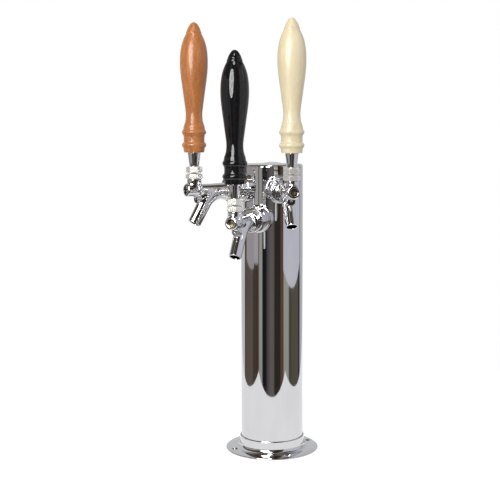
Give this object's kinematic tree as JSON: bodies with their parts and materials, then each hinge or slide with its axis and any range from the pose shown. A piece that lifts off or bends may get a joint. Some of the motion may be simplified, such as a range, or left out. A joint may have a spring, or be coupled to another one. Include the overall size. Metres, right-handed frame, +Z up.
{
  "type": "beer tower dispenser",
  "caption": "Chromed column on a screwed round flange, with lever taps fanned round its upper front and turned wooden handles that tilt forward to pour.",
  "frame": {"origin": "under the middle of the whole object's box, on the face of the base flange that rests on the bar top; the column's axis stands 33.6 mm behind it", "axes": "+Z up along the column; the centre tap points along -Y; +X to the right for someone who faces the taps"},
  "size_m": [0.1562, 0.1816, 0.5206],
  "materials": {
    "chrome": "polished chrome plate",
    "nickel": "bright nickel plate",
    "steel": "stainless steel, as machined",
    "brass": "machined brass",
    "rubber": "matt black rubber",
    "nylon": "natural nylon",
    "foam": "closed-cell insulation foam",
    "orange_wood": "orange-brown wood under clear gloss lacquer",
    "black_lacquer": "wood under black gloss lacquer",
    "pale_wood": "pale ivory wood under clear gloss lacquer"
  },
  "bodies": {
    "tower": {"base_flange": "chrome", "column_tube": "chrome", "insulation_sleeve": "foam", "shank_flange_left": "chrome", "saddle_washer_left": "steel", "shank_lock_nut_left": "brass", "shank_left": "brass", "tailpiece_left": "steel", "coupling_nut_left": "chrome", "coupling_gasket_left": "rubber", "faucet_body_left": "chrome", "ball_bushing_left": "nylon", "friction_washer_left": "nylon", "bonnet_nut_left": "nickel", "shank_flange_center": "chrome", "saddle_washer_center": "steel", "shank_lock_nut_center": "brass", "shank_center": "brass", "tailpiece_center": "steel", "coupling_nut_center": "chrome", "coupling_gasket_center": "rubber", "faucet_body_center": "chrome", "ball_bushing_center": "nylon", "friction_washer_center": "nylon", "bonnet_nut_center": "nickel", "shank_flange_right": "chrome", "saddle_washer_right": "steel", "shank_lock_nut_right": "brass", "shank_right": "brass", "tailpiece_right": "steel", "coupling_nut_right": "chrome", "coupling_gasket_right": "rubber", "faucet_body_right": "chrome", "ball_bushing_right": "nylon", "friction_washer_right": "nylon", "bonnet_nut_right": "nickel"},
    "cap": {"top_cap": "chrome", "cap_foam_plug": "foam"},
    "lever_assembly_left": {"lever_left": "brass", "jam_nut_left": "nickel", "handle_ferrule_left": "chrome", "handle_left": "orange_wood"},
    "lever_assembly_center": {"lever_center": "brass", "jam_nut_center": "nickel", "handle_ferrule_center": "chrome", "handle_center": "black_lacquer"},
    "lever_assembly_right": {"lever_right": "brass", "jam_nut_right": "nickel", "handle_ferrule_right": "chrome", "handle_right": "pale_wood"},
    "shaft_assembly_left": {"shaft_left": "brass", "seat_washer_left": "rubber", "shaft_nut_left": "brass"},
    "shaft_assembly_center": {"shaft_center": "brass", "seat_washer_center": "rubber", "shaft_nut_center": "brass"},
    "shaft_assembly_right": {"shaft_right": "brass", "seat_washer_right": "rubber", "shaft_nut_right": "brass"}
  },
  "joints": [
    {"name": "lever_left", "type": "hinge", "parent": "tower", "child": "lever_assembly_left", "pos_m": [-0.06195, -0.05484, 0.33355], "axis": [0.8192, -0.5736, 0], "range_deg": [0, 22]},
    {"name": "lever_center", "type": "hinge", "parent": "tower", "child": "lever_assembly_center", "pos_m": [0, -0.07437, 0.2982], "axis": [1, 0, 0], "range_deg": [0, 22]},
    {"name": "lever_right", "type": "hinge", "parent": "tower", "child": "lever_assembly_right", "pos_m": [0.06195, -0.05484, 0.33355], "axis": [0.8192, 0.5736, 0], "range_deg": [0, 22]},
    {"name": "shaft_left", "type": "slide", "parent": "tower", "child": "shaft_assembly_left", "axis": [0.5736, 0.8192, 0], "range_m": [0, 0.0037]},
    {"name": "shaft_center", "type": "slide", "parent": "tower", "child": "shaft_assembly_center", "axis": [0, 1, 0], "range_m": [0, 0.0037]},
    {"name": "shaft_right", "type": "slide", "parent": "tower", "child": "shaft_assembly_right", "axis": [-0.5736, 0.8192, 0], "range_m": [0, 0.0037]},
    {"name": "cap_lift", "type": "slide", "parent": "tower", "child": "cap", "axis": [0, 0, 1], "range_m": [0, 0.04]}
  ],
  "couplings": [
    {"joint": "shaft_left", "follows": "lever_left", "m_per_rad": 0.00955},
    {"joint": "shaft_center", "follows": "lever_center", "m_per_rad": 0.00955},
    {"joint": "shaft_right", "follows": "lever_right", "m_per_rad": 0.00955}
  ]
}
